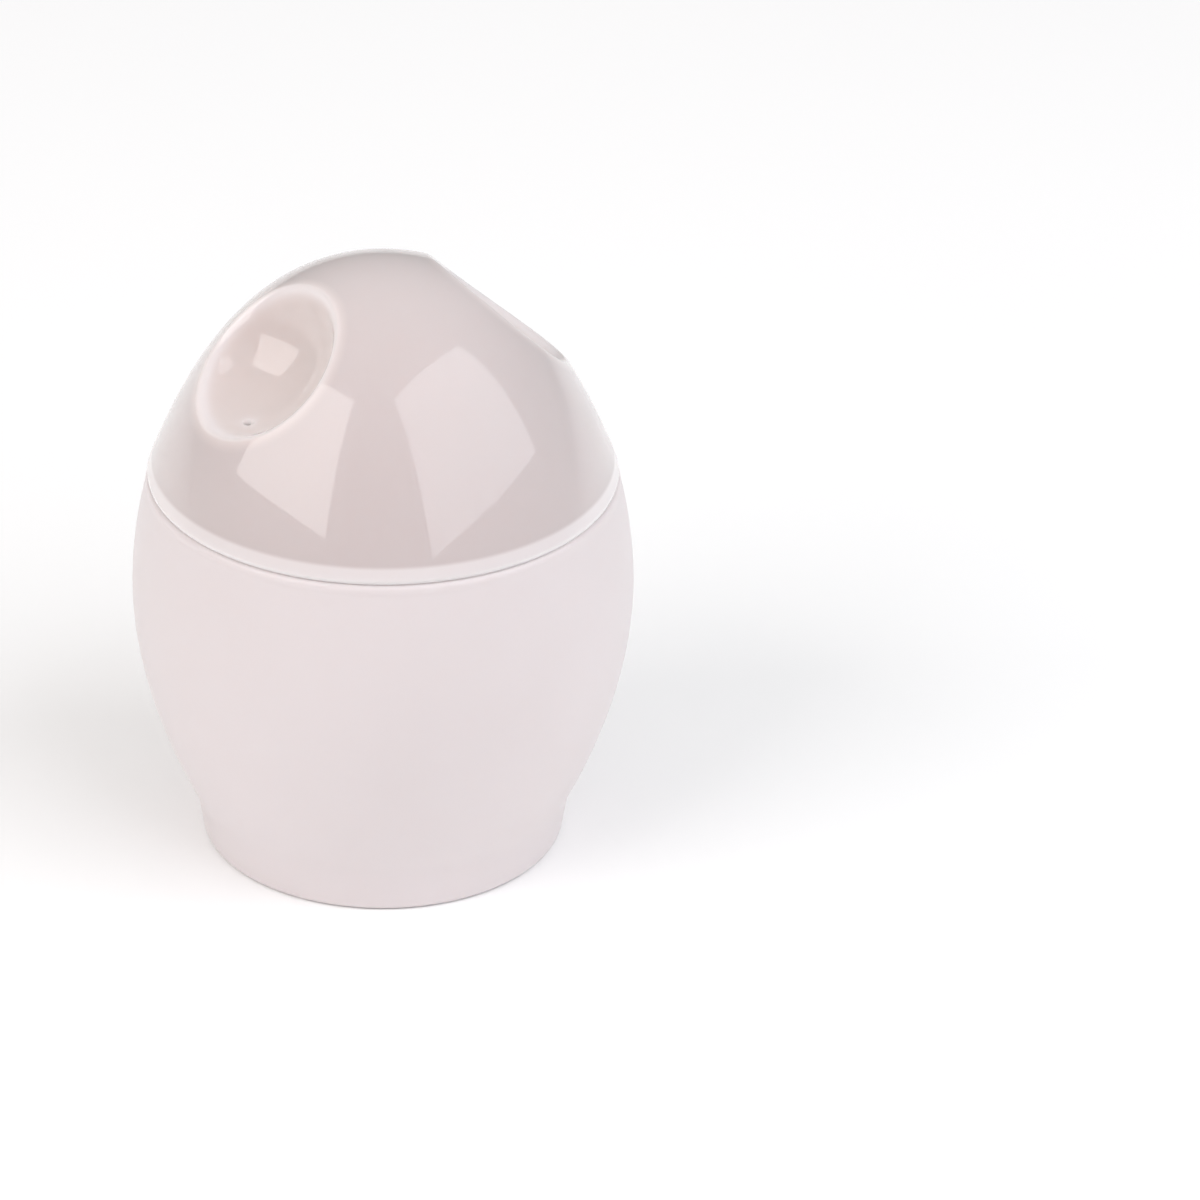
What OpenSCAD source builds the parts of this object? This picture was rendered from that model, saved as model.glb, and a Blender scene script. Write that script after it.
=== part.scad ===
// Two-piece microwave egg cooker: a round-bellied cup on a ring foot, and a domed lid with two
// finger dimples that lifts straight off. Millimetres, +Z up, origin at the middle of the foot.

/* [Cup] */
// Height of the cup from the table to the lip that the lid sits on
cup_h = 59.7; // [49:0.1:90]
// Largest diameter of the belly
belly_d = 74.9; // [62:0.1:100]
// Height of the largest diameter above the table
belly_z = 41; // [28:0.5:50]
// Outer diameter of the lip
lip_d = 69.8; // [58:0.1:84]
// Radius of the rounded outer edge of the lip
lip_round = 1.5; // [0.5:0.1:2]
// Width of the lip, from the mouth to the outer edge
lip_w = 2.3; // [2:0.1:4]
// Thinnest wall between the bowl and the outside, measured level
cup_wall = 2.2; // [1.2:0.1:4]
// Slope of the inner wall, so that the cup leaves its mould
inner_draft = 1.5; // [1:0.1:4]
// Radius of the rounded corner between the inner wall and the floor
bowl_round = 14; // [6:0.5:18]
// Thickness of the floor
floor_t = 2.6; // [1.6:0.1:5]
// How full the side is below the belly, where 1 is a straight cone
lower_fullness = 1.85; // [1.4:0.05:2.4]
// How full the side is above the belly, where 1 is a straight cone
upper_fullness = 1.95; // [1.4:0.05:2.6]

/* [Foot] */
// Diameter of the waist, where the belly meets the foot
waist_d = 56.6; // [46:0.1:68]
// Height of the waist above the table
waist_z = 7.2; // [4:0.1:12]
// Diameter of the foot just above its rounded edge
foot_d = 54.6; // [45:0.1:66]
// Radius of the rounded bottom edge of the foot
foot_round = 1.2; // [0.4:0.1:1.2]
// Width of the ring that stands on the table, with its rounded edge
foot_w = 3; // [2:0.1:6]
// Depth of the recess under the floor
recess_h = 6.4; // [4.5:0.1:9]
// Slope of the recess wall
recess_draft = 3; // [0:0.5:6]

/* [Lid] */
// How far the lower edge of the lid stands out past the lip of the cup
lid_overhang = 0.05; // [-0.5:0.05:0.5]
// Height of the dome above the lip of the cup
dome_h = 33.4; // [27:0.1:45]
// Wall of the dome and of the finger dimples
lid_wall = 1.3; // [1:0.1:2.2]
// Radius of the rounded lower edge of the lid
lid_edge = 0.8; // [0.3:0.1:1.2]
// Height of the thick ring at the bottom of the lid
ring_h = 2.2; // [1.6:0.1:4]
// Inward lean of the side of the dome, from upright
side_lean = 21; // [8:0.5:30]
// How far up the dome its side keeps its lean, as a share of the height
side_pull = 0.58; // [0.3:0.01:0.8]
// Breadth of the flat crown, as a share of the lid's radius
crown_pull = 0.51; // [0.3:0.01:0.8]

/* [Seat] */
// Depth of the skirt that drops into the mouth of the cup
skirt_h = 3.6; // [2:0.1:6]
// Thickness of the skirt
skirt_t = 1.4; // [1:0.1:2.4]
// Tightest gap all round between the skirt and the inside of the cup
skirt_gap = 0.2; // [0.1:0.05:0.5]
// Bevel round the lower edge of the skirt
skirt_bevel = 0.4; // [0.1:0.1:0.7]

/* [Finger dimples] */
// Radius of the ball that shapes each dimple
dimple_r = 13.8; // [12:0.1:18]
// Depth of each dimple below the plain dome
dimple_depth = 10.1; // [6:0.1:12.5]
// Where the middle of each dimple lies, as a share of the way up the dome's curve
dimple_place = 0.51; // [0.47:0.01:0.56]
// Diameter of the steam vent low in each dimple
vent_d = 1; // [0.8:0.1:3]
// Angle from the middle of the dimple down to its vent
vent_angle = 39; // [10:1:42]

/* [Hidden] */
$fn = 120;
CUP_COLOR = "#f0eceb";
LID_COLOR = "#ded6d4";
SIDE_STEPS = 12;
ROUND_STEPS = 6;
BOWL_STEPS = 10;
DOME_STEPS = 22;
OVERLAP = 1;

belly_r = belly_d / 2;
lip_r = lip_d / 2;
mouth_r = lip_r - lip_w;
waist_r = waist_d / 2;
foot_r = foot_d / 2;
recess_r = foot_r - foot_w;
floor_z = recess_h + floor_t;
lip_turn_z = cup_h - lip_round;
bowl_top_z = floor_z + bowl_round;
lid_r = lip_r + lid_overhang;
skirt_r = min(mouth_r, cup_inner_r(cup_h - skirt_h)) - skirt_gap;
skirt_inner_r = skirt_r - skirt_t;

// Points on an arc of radius r about [x, z], from angle a0 to angle a1.
function arc(x, z, r, a0, a1, steps) =
    [for (i = [0:steps]) let (a = a0 + (a1 - a0) * i / steps) [x + r * cos(a), z + r * sin(a)]];

// Outer radius of the cup at height z: the foot, then the side up to the belly and on to the lip.
function cup_outer_r(z) =
    z < waist_z
        ? foot_r + (waist_r - foot_r) * (z - foot_round) / (waist_z - foot_round)
        : z < belly_z
            ? belly_r - (belly_r - waist_r) * pow((belly_z - z) / (belly_z - waist_z), lower_fullness)
            : belly_r - (belly_r - lip_r) * pow((z - belly_z) / (cup_h - belly_z), upper_fullness);

// Inner radius of the bowl at height z: the mouth's own draft, kept a wall inside the outside.
function cup_inner_r(z) =
    min(mouth_r - (cup_h - z) * tan(inner_draft), cup_outer_r(z) - cup_wall);

// Points up the side of the cup, from z0 to z1.
function cup_side(z0, z1) =
    [for (i = [0:SIDE_STEPS]) let (z = z0 + (z1 - z0) * i / SIDE_STEPS) [cup_outer_r(z), z]];

// Points down the inside of the cup, from just under the mouth to the top of the rounded corner.
function cup_inside() =
    [for (i = [0:SIDE_STEPS])
        let (z = lip_turn_z + (bowl_top_z - lip_turn_z) * i / SIDE_STEPS)
        [cup_inner_r(z), z]];

// Points round the corner from the wall to the floor, kept a wall inside the outside.
function cup_corner() =
    [for (p = arc(cup_inner_r(bowl_top_z) - bowl_round, bowl_top_z, bowl_round, 0, -90, BOWL_STEPS))
        [min(p[0], cup_outer_r(p[1]) - cup_wall), p[1]]];

// The four control points of the dome's curve, from the lower edge to the crown.
DOME_CURVE = [
    [lid_r, lid_edge],
    [lid_r - side_pull * dome_h * tan(side_lean), lid_edge + side_pull * dome_h],
    [crown_pull * lid_r, dome_h],
    [0, dome_h]
];

// A point on the dome's curve, where t runs from 0 at the edge to 1 at the crown.
function dome_point(t) =
    pow(1 - t, 3) * DOME_CURVE[0] + 3 * pow(1 - t, 2) * t * DOME_CURVE[1]
    + 3 * (1 - t) * t * t * DOME_CURVE[2] + pow(t, 3) * DOME_CURVE[3];

// The direction along the dome's curve at t.
function dome_run(t) =
    pow(1 - t, 2) * (DOME_CURVE[1] - DOME_CURVE[0]) + 2 * (1 - t) * t * (DOME_CURVE[2] - DOME_CURVE[1])
    + t * t * (DOME_CURVE[3] - DOME_CURVE[2]);

// The outward direction, square to the dome's curve at t.
function dome_out(t) = let (run = dome_run(t)) [run[1], -run[0]] / norm(run);

// Points along the outside of the dome, and along its inside, a wall further in.
function dome_outside() = [for (i = [0:DOME_STEPS]) dome_point(i / DOME_STEPS)];
function dome_inside() =
    [for (i = [DOME_STEPS:-1:0])
        let (t = i / DOME_STEPS, p = dome_point(t) - lid_wall * dome_out(t))
        if (p[1] > ring_h) [max(p[0], 0), p[1]]];

recess_top_r = min(recess_r - recess_h * tan(recess_draft), cup_outer_r(recess_h) - foot_w);
dimple_spot = dome_point(dimple_place);
dimple_out = dome_out(dimple_place);
dimple_centre = dimple_spot + (dimple_r - dimple_depth) * dimple_out;
dimple_tilt = atan2(dimple_out[0], dimple_out[1]);

// Section of the cup: under the foot, up the outside, over the lip and down into the bowl.
module cup_section() {
    polygon(concat(
        [[0, recess_h], [recess_top_r, recess_h], [recess_r, 0]],
        arc(foot_r - foot_round, foot_round, foot_round, -90, 0, ROUND_STEPS),
        cup_side(waist_z, belly_z),
        cup_side(belly_z + (lip_turn_z - belly_z) / SIDE_STEPS, lip_turn_z),
        arc(lip_r - lip_round, lip_turn_z, lip_round, 15, 90, ROUND_STEPS),
        [[mouth_r, cup_h]],
        cup_inside(),
        cup_corner(),
        [[0, floor_z]]
    ));
}

// Section of the lid without its dimples, with its seat at height 0.
module lid_section() {
    polygon(concat(
        [
            [skirt_inner_r, -skirt_h],
            [skirt_r - skirt_bevel, -skirt_h],
            [skirt_r, skirt_bevel - skirt_h],
            [skirt_r, 0]
        ],
        arc(lid_r - lid_edge, lid_edge, lid_edge, -90, 0, ROUND_STEPS),
        dome_outside(),
        dome_inside(),
        [[skirt_inner_r, ring_h]]
    ));
}

// Section of the solid dome, from its edge to the crown.
module dome_section() {
    polygon(concat([[0, lid_edge]], dome_outside()));
}

// A ball of radius r at the centre of each dimple.
module dimple_balls(r) {
    for (side = [0, 180])
        rotate([0, 0, side])
            translate([dimple_centre[0], 0, dimple_centre[1]])
                sphere(r);
}

// A round vent through the wall, low in each dimple.
module vents() {
    for (side = [0, 180])
        rotate([0, 0, side])
            translate([dimple_centre[0], 0, dimple_centre[1]])
                rotate([0, 180 + dimple_tilt - vent_angle, 0])
                    translate([0, 0, dimple_r - OVERLAP])
                        cylinder(d = vent_d, h = lid_wall + 2 * OVERLAP);
}

module cup() {
    color(CUP_COLOR)
        rotate_extrude()
            cup_section();
}

module lid() {
    color(LID_COLOR)
        translate([0, 0, cup_h])
            difference() {
                union() {
                    rotate_extrude()
                        lid_section();
                    intersection() {
                        rotate_extrude()
                            dome_section();
                        dimple_balls(dimple_r + lid_wall);
                    }
                }
                dimple_balls(dimple_r);
                vents();
            }
}

cup();
lid();
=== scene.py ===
"""A closed microwave egg cooker: a satin white cup with a milky, glossy lid on it.

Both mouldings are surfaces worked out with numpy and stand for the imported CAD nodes. Lengths in the
classes are millimetres, and the meshes are metres in the frame's own axes.
"""

import logging
import math
from collections.abc import Callable
from dataclasses import dataclass, field
from enum import Enum

import bmesh
import bpy
import numpy as np
from mathutils import Matrix, Vector


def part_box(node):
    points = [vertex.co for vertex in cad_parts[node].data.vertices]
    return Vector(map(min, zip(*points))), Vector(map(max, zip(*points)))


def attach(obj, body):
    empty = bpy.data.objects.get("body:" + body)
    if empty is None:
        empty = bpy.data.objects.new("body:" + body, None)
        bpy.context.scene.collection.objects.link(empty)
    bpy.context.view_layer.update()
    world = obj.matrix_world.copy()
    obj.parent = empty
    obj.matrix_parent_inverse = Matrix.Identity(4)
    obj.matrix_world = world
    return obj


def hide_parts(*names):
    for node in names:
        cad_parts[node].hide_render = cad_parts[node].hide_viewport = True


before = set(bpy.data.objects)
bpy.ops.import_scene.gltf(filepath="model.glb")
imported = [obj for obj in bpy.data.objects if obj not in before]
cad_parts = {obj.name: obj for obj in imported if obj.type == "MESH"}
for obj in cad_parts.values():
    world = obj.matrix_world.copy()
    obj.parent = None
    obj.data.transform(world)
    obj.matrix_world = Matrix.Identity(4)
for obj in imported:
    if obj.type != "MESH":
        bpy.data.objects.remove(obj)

LOG = logging.getLogger("egg_cooker")
MM = 0.001
# Points closer than this many metres are welded.
WELD_M = 2e-7
# Gap in millimetres that keeps points off an axis or a ball's equator.
SMALL_MM = 0.02
# Gap in millimetres between the end of a round and the next point of a straight run.
STEP_MM = 0.1
# Height in millimetres above the seat up to which the lid's thick ring is made less clear and painted
# whiter, a painted glow for light scattered in the ring and thrown up from the cup's white lip.
THICK_AND_GLOW_RING_MM = 2.4
TINY = 1e-9
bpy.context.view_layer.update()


# ---- Curves and grids ----


def arc(centre: tuple[float, float], radius: float, start: float, end: float, steps: int) -> np.ndarray:
    """Points on a circular arc: the centre plus the radius times the cosine and sine of the angle.

    Args:
        centre: Middle of the arc, as radius and height.
        radius: Radius of the arc.
        start: First angle in degrees, from the outward direction towards up.
        end: Last angle in degrees.
        steps: Number of equal steps.

    Returns:
        An array of steps + 1 rows of radius and height.
    """
    angle = np.radians(np.linspace(start, end, steps + 1))
    return np.stack([centre[0] + radius * np.cos(angle), centre[1] + radius * np.sin(angle)], axis=1)


def line(start: tuple[float, float], end: tuple[float, float], steps: int) -> np.ndarray:
    """Points on a straight line: the start and the end mixed in equal steps of their shares.

    Args:
        start: First point, as radius and height.
        end: Last point.
        steps: Number of equal steps.

    Returns:
        An array of steps + 1 rows of radius and height.
    """
    share = np.linspace(0.0, 1.0, steps + 1)[:, None]
    return (1.0 - share) * np.array(start) + share * np.array(end)


def join(*runs: np.ndarray) -> np.ndarray:
    """One outline from runs of points that follow each other, without the repeated joints.

    Args:
        runs: Runs of points, each as rows of radius and height.

    Returns:
        The outline's rows of radius and height.
    """
    points = np.concatenate(runs)
    step = np.linalg.norm(np.diff(points, axis=0), axis=1)
    return points[np.concatenate([[True], step > 1e-6])]


def revolve(outline: np.ndarray, angles: np.ndarray) -> np.ndarray:
    """A surface of revolution: each outline point turned about Z to every angle.

    Args:
        outline: Rows of radius and height.
        angles: Angles about Z in radians.

    Returns:
        A grid of points, one row for each outline point and one column for each angle.
    """
    radius, height = outline[:, :1], outline[:, 1:]
    level = np.broadcast_to(height, (len(outline), len(angles)))
    return np.stack([radius * np.cos(angles), radius * np.sin(angles), level], axis=2)


def smooth_min(a: np.ndarray, b: np.ndarray, blend: float) -> np.ndarray:
    """The lesser of a and b, less a quarter of the blend times the squared overlap where they are close.

    Args:
        a: First values.
        b: Second values.
        blend: Difference at which the blend ends.

    Returns:
        The blended values.
    """
    overlap = np.clip(1.0 - np.abs(a - b) / blend, 0.0, 1.0)
    return np.minimum(a, b) - 0.25 * blend * overlap**2


def bisect(
    function: Callable[[np.ndarray], np.ndarray], low: np.ndarray, high: np.ndarray, rounds: int = 44
) -> np.ndarray:
    """Roots of a function that is below zero at low and above zero at high, by halving the span.

    Args:
        function: Takes an array of trial values and gives an array of results.
        low: Values where the result is below zero.
        high: Values where the result is above zero.
        rounds: Number of halvings.

    Returns:
        An array of roots.
    """
    for _ in range(rounds):
        middle = 0.5 * (low + high)
        below = function(middle) < 0.0
        low = np.where(below, middle, low)
        high = np.where(below, high, middle)
    return 0.5 * (low + high)


class MeshBuilder:
    """Collects grids of points with their faces, and makes one welded, closed mesh of them."""

    def __init__(self) -> None:
        """Starts with no points and no faces."""
        self.points: list[np.ndarray] = []
        self.quads: list[np.ndarray] = []
        self.triangles: list[np.ndarray] = []
        self.count = 0

    def add_points(self, points: np.ndarray) -> np.ndarray:
        """Adds points.

        Args:
            points: Points in millimetres, in any layout.

        Returns:
            The points' numbers in the same layout.
        """
        flat = points.reshape(-1, 3)
        numbers = np.arange(self.count, self.count + len(flat)).reshape(points.shape[:-1])
        self.points.append(flat)
        self.count += len(flat)
        return numbers

    def add_quads(self, numbers: np.ndarray, wrap: bool, hole: np.ndarray | None = None) -> None:
        """Adds a quad for each cell of a grid of point numbers.

        Args:
            numbers: Point numbers in rows and columns.
            wrap: Whether the last column joins the first.
            hole: True for each cell that stays open.
        """
        if wrap:
            numbers = np.concatenate([numbers, numbers[:, :1]], axis=1)
        quads = np.stack([numbers[:-1, :-1], numbers[:-1, 1:], numbers[1:, 1:], numbers[1:, :-1]], axis=2)
        kept = quads.reshape(-1, 4) if hole is None else quads[~hole]
        self.quads.append(kept)

    def add_fan(self, centre: np.ndarray, ring: np.ndarray) -> None:
        """Closes a ring with triangles to one centre point.

        Args:
            centre: The centre point in millimetres.
            ring: Point numbers round the ring.
        """
        middle = self.add_points(centre.reshape(1, 3))[0]
        following = np.roll(ring, -1)
        self.triangles.append(np.stack([np.full(len(ring), middle), ring, following], axis=1))

    def build(self, name: str, sharp_angle: float) -> bpy.types.Object:
        """Makes the object: welds the seams, turns every face outwards and smooths the shading.

        Args:
            name: Name of the new object.
            sharp_angle: Edges sharper than this many degrees stay crisp.

        Returns:
            The new object, linked to the scene.
        """
        points = np.concatenate(self.points) * MM
        quads = np.concatenate(self.quads)
        triangles = np.concatenate(self.triangles) if self.triangles else np.zeros((0, 3), dtype=int)
        corners = np.concatenate([quads.ravel(), triangles.ravel()]).astype(np.int32)
        sizes = np.concatenate([np.full(len(quads), 4), np.full(len(triangles), 3)])
        starts = np.concatenate([[0], np.cumsum(sizes)[:-1]]).astype(np.int32)
        mesh = bpy.data.meshes.new(name)
        mesh.vertices.add(len(points))
        mesh.vertices.foreach_set("co", points.astype(np.float32).ravel())
        mesh.loops.add(len(corners))
        mesh.loops.foreach_set("vertex_index", corners)
        mesh.polygons.add(len(sizes))
        mesh.polygons.foreach_set("loop_start", starts)
        mesh.update(calc_edges=True)
        work = bmesh.new()
        work.from_mesh(mesh)
        bmesh.ops.remove_doubles(work, verts=work.verts, dist=WELD_M)
        bmesh.ops.recalc_face_normals(work, faces=work.faces)
        work.to_mesh(mesh)
        open_edges = sum(1 for edge in work.edges if len(edge.link_faces) != 2)
        work.free()
        mesh.shade_smooth()
        mesh.set_sharp_from_angle(angle=math.radians(sharp_angle))
        piece = bpy.data.objects.new(name, mesh)
        bpy.context.scene.collection.objects.link(piece)
        LOG.info("%s: %d faces, %d open edges", name, len(mesh.polygons), open_edges)
        return piece


# ---- Materials ----


def linear(code: str) -> tuple[float, float, float, float]:
    """A hex colour made linear: the low part divided, the rest raised to a power, as sRGB says.

    Args:
        code: The colour as an sRGB hex code.

    Returns:
        Linear red, green and blue, and an alpha of one.
    """
    parts = [int(code.lstrip("#")[i : i + 2], 16) / 255.0 for i in (0, 2, 4)]
    values = [p / 12.92 if p <= 0.04045 else ((p + 0.055) / 1.055) ** 2.4 for p in parts]
    return values[0], values[1], values[2], 1.0


def add_node(
    material: bpy.types.Material | bpy.types.World,
    kind: str,
    settings: dict | None = None,
    values: dict | None = None,
    links: dict | None = None,
) -> bpy.types.Node:
    """Adds a shader node with its settings, socket values and links.

    Args:
        material: The material or world whose tree gets the node.
        kind: The node's type name.
        settings: Properties of the node itself.
        values: Input sockets and the values set on them.
        links: Input sockets and the output sockets that feed them.

    Returns:
        The new node.
    """
    tree = material.node_tree
    node = tree.nodes.new(kind)
    for key, value in (settings or {}).items():
        setattr(node, key, value)
    for key, value in (values or {}).items():
        node.inputs[key].default_value = value
    for key, socket in (links or {}).items():
        tree.links.new(socket, node.inputs[key])
    return node


def empty_material(name: str) -> bpy.types.Material:
    """A new material with an empty node tree.

    Args:
        name: The real material and how it was made.

    Returns:
        The new material.
    """
    material = bpy.data.materials.new(name)
    material.use_nodes = True
    material.node_tree.nodes.clear()
    return material


def finish_surface(material: bpy.types.Material, shader: bpy.types.Node) -> bpy.types.Material:
    """Links a shader to the material's output and returns the material."""
    add_node(material, "ShaderNodeOutputMaterial", links={"Surface": shader.outputs[0]})
    return material


def add_noise(
    material: bpy.types.Material,
    place: bpy.types.NodeSocket,
    size_mm: float,
    detail: float,
    roughness: float = 0.5,
) -> bpy.types.NodeSocket:
    """Adds a noise texture.

    Args:
        material: The material that gets it.
        place: The coordinates it is looked up at.
        size_mm: Size of its largest lumps.
        detail: Number of finer layers.
        roughness: Strength of each finer layer, as a share of the last.

    Returns:
        The socket with the noise's grey value.
    """
    values = {"Scale": 1.0 / (size_mm * MM), "Detail": detail, "Roughness": roughness}
    return add_node(material, "ShaderNodeTexNoise", values=values, links={"Vector": place}).outputs["Fac"]


def add_tint(
    material: bpy.types.Material,
    share: bpy.types.NodeSocket,
    first: str | bpy.types.NodeSocket,
    second: str,
) -> bpy.types.NodeSocket:
    """Adds a mix of two colours. A Mix node takes them at inputs 6 and 7 and gives the mix at output 2.

    Args:
        material: The material that gets it.
        share: The socket that gives the second colour's share.
        first: The first colour, as a hex code or a socket.
        second: The second colour, as a hex code.

    Returns:
        The socket with the mix.
    """
    values, links = {7: linear(second)}, {"Factor": share}
    if isinstance(first, str):
        values[6] = linear(first)
    else:
        links[6] = first
    return add_node(material, "ShaderNodeMix", {"data_type": "RGBA"}, values, links).outputs[2]


# Refractive index of polypropylene.
PLASTIC_IOR = 1.49


class MouldFinish(Enum):
    """How the steel of a mould was finished, with the height in millimetres that it leaves."""

    POLISHED = 0.0006
    SPARK_ERODED = 0.006


@dataclass(frozen=True)
class WhitePolypropylene:
    """White polypropylene, moulded in a finely spark-eroded tool.

    The pigment makes it opaque and a touch warm, the grain spreads every reflection into a soft
    sheen, and the melt's flow leaves cloudy changes in gloss a couple of centimetres across.
    """

    colour: str = "#E1D9DA"
    shade: str = "#DDD4D4"
    roughness: float = 0.40
    gloss_change: float = 0.03
    grain_mm: float = 0.45
    cloud_mm: float = 24.0
    scatter_mm: float = 0.8
    finish: MouldFinish = MouldFinish.SPARK_ERODED

    def build(self) -> bpy.types.Material:
        """Builds the material's node tree.

        Returns:
            The material.
        """
        material = empty_material("white_polypropylene_spark_eroded")
        place = add_node(material, "ShaderNodeTexCoord").outputs["Object"]
        # A real grain is about 0.05 mm: it is drawn coarser, so that it still shows up close.
        grain = add_noise(material, place, self.grain_mm, detail=2.0, roughness=0.6)
        clouds = add_noise(material, place, self.cloud_mm, detail=3.0)
        tint = add_tint(material, clouds, self.colour, self.shade)
        low, high = self.roughness - self.gloss_change, self.roughness + self.gloss_change
        gloss = add_node(
            material,
            "ShaderNodeMapRange",
            values={"From Min": 0.3, "From Max": 0.7, "To Min": low, "To Max": high},
            links={"Value": clouds},
        )
        relief = add_node(
            material,
            "ShaderNodeBump",
            values={"Strength": 0.6, "Distance": self.finish.value * MM},
            links={"Height": grain},
        )
        shader = add_node(
            material,
            "ShaderNodeBsdfPrincipled",
            values={
                "IOR": PLASTIC_IOR,
                "Subsurface Weight": 1.0,
                "Subsurface Radius": (1.0, 0.95, 0.92),
                "Subsurface Scale": self.scatter_mm * MM,
            },
            links={
                "Base Color": tint,
                "Roughness": gloss.outputs["Result"],
                "Normal": relief.outputs["Normal"],
            },
        )
        return finish_surface(material, shader)


@dataclass(frozen=True)
class MilkyPolypropylene:
    """Natural, unpigmented polypropylene, moulded in a polished tool.

    Its crystals scatter light inside the wall, so that it is milky and what lies behind it is only
    a soft shadow, while its polished skin still shows crisp reflections. At its thick ring, round its
    dimples' rims and round its vents it is made less clear and painted whiter: a painted glow for the
    light scattered in the thick plastic, piped round the rolled rims and thrown up from the cup's white
    lip, with a painted highlight at each vent. In the hollow of a dimple the tint is painted warmer,
    a painted bounce light for the light that goes to and fro between the walls, and it is made less
    clear.
    """

    colour: str = "#E6D9D8"
    # Whiter tint: mixed in at random by the clouds, and painted on as a glow at the ring, the dimples'
    # rims and the vents.
    whiter_and_glow_colour: str = "#E8E0E0"
    # Warmer tint painted in the dimples' hollows, a painted bounce light.
    painted_bounce_colour: str = "#EADDDA"
    haze: float = 0.25
    clearness: float = 0.29
    thick_clearness: float = 0.08
    hollow_clearness: float = 0.18
    cloud_mm: float = 18.0
    cloud_tint: float = 0.25
    skin_roughness: float = 0.03
    wave_share: float = 20.0
    scatter_mm: float = 1.5
    thick_and_glow_attribute: str = "thick_plastic_and_painted_glow"
    # Mask of thick plastic and painted glow: the dimples' rims and the vents.
    hollow_attribute: str = "dimple_hollow"
    # Height in millimetres below which the ring is painted whiter as a painted glow.
    ring_top_mm: float = 62.1
    ring_fade_mm: float = 0.35
    finish: MouldFinish = MouldFinish.POLISHED

    def build(self) -> bpy.types.Material:
        """Builds the material's node tree.

        Returns:
            The material.
        """
        material = empty_material("milky_polypropylene_polished")
        place = add_node(material, "ShaderNodeTexCoord").outputs["Object"]
        clouds = add_noise(material, place, self.cloud_mm, detail=4.0)
        hollow, thick = (
            add_node(material, "ShaderNodeAttribute", settings={"attribute_name": name})
            for name in (self.hollow_attribute, self.thick_and_glow_attribute)
        )
        split = add_node(material, "ShaderNodeSeparateXYZ", links={"Vector": place})
        # Below the ring's top the lid is painted whiter, a painted glow for light scattered in the thick
        # ring and thrown up from the cup's white lip.
        fade_top = (self.ring_top_mm + self.ring_fade_mm) * MM
        fade_foot = (self.ring_top_mm - self.ring_fade_mm) * MM
        ring = add_node(
            material,
            "ShaderNodeMapRange",
            settings={"interpolation_type": "SMOOTHSTEP"},
            values={"From Min": fade_top, "From Max": fade_foot},
            links={"Value": split.outputs["Z"]},
        )
        # Share of painted glow, from the ring and from the rim and vent mask; it also makes the lid less
        # clear there.
        depth = add_node(
            material,
            "ShaderNodeMath",
            settings={"operation": "MAXIMUM"},
            links={0: thick.outputs["Fac"], 1: ring.outputs["Result"]},
        )
        cloudiness = add_node(
            material, "ShaderNodeMapRange", values={"To Max": self.cloud_tint}, links={"Value": clouds}
        )
        dome_tint = add_tint(material, cloudiness.outputs["Result"], self.colour, self.whiter_and_glow_colour)
        # Painted bounce light: the dimples' hollows are tinted warmer; below, they are also made less
        # clear, which lightens them.
        painted_bounce_tint = add_tint(material, hollow.outputs["Fac"], dome_tint, self.painted_bounce_colour)
        # Painted glow: the ring, the dimples' rims and the vents are tinted whiter.
        tint = add_tint(material, depth.outputs["Value"], painted_bounce_tint, self.whiter_and_glow_colour)
        hollow_clearness = add_node(
            material,
            "ShaderNodeMapRange",
            values={"To Min": self.clearness, "To Max": self.hollow_clearness},
            links={"Value": hollow.outputs["Fac"]},
        )
        # With numbers, a Mix node takes them at inputs 2 and 3 and gives the mix at output 0.
        clearness = add_node(
            material,
            "ShaderNodeMix",
            settings={"data_type": "FLOAT"},
            values={3: self.thick_clearness},
            links={"Factor": depth.outputs["Value"], 2: hollow_clearness.outputs["Result"]},
        )
        relief = add_node(
            material,
            "ShaderNodeBump",
            values={"Strength": 0.5, "Distance": self.finish.value * MM * self.wave_share},
            links={"Height": clouds},
        )
        shader = add_node(
            material,
            "ShaderNodeBsdfPrincipled",
            values={
                "IOR": PLASTIC_IOR,
                "Roughness": self.haze,
                "Specular IOR Level": 0.0,
                "Subsurface Weight": 1.0,
                "Subsurface Radius": (1.0, 0.95, 0.93),
                "Subsurface Scale": self.scatter_mm * MM,
                "Coat Weight": 1.0,
                "Coat Roughness": self.skin_roughness,
                "Coat IOR": PLASTIC_IOR,
            },
            links={
                "Base Color": tint,
                "Transmission Weight": clearness.outputs[0],
                "Normal": relief.outputs["Normal"],
                "Coat Normal": relief.outputs["Normal"],
            },
        )
        return finish_surface(material, shader)


@dataclass(frozen=True)
class PaleTabletop:
    """A smooth, pale laminate tabletop, matt enough to show only a trace of what stands on it."""

    colour: str = "#FEFEFE"
    shade: str = "#FCFCFC"
    roughness: float = 0.6
    patch_mm: float = 150.0

    def build(self) -> bpy.types.Material:
        """Builds the material's node tree.

        Returns:
            The material.
        """
        material = empty_material("pale_laminate_pressed")
        place = add_node(material, "ShaderNodeTexCoord").outputs["Object"]
        patches = add_noise(material, place, self.patch_mm, detail=2.0)
        tint = add_tint(material, patches, self.colour, self.shade)
        shader = add_node(
            material,
            "ShaderNodeBsdfPrincipled",
            values={"Roughness": self.roughness, "Specular IOR Level": 0.2},
            links={"Base Color": tint},
        )
        return finish_surface(material, shader)


# ---- The cup ----


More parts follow.
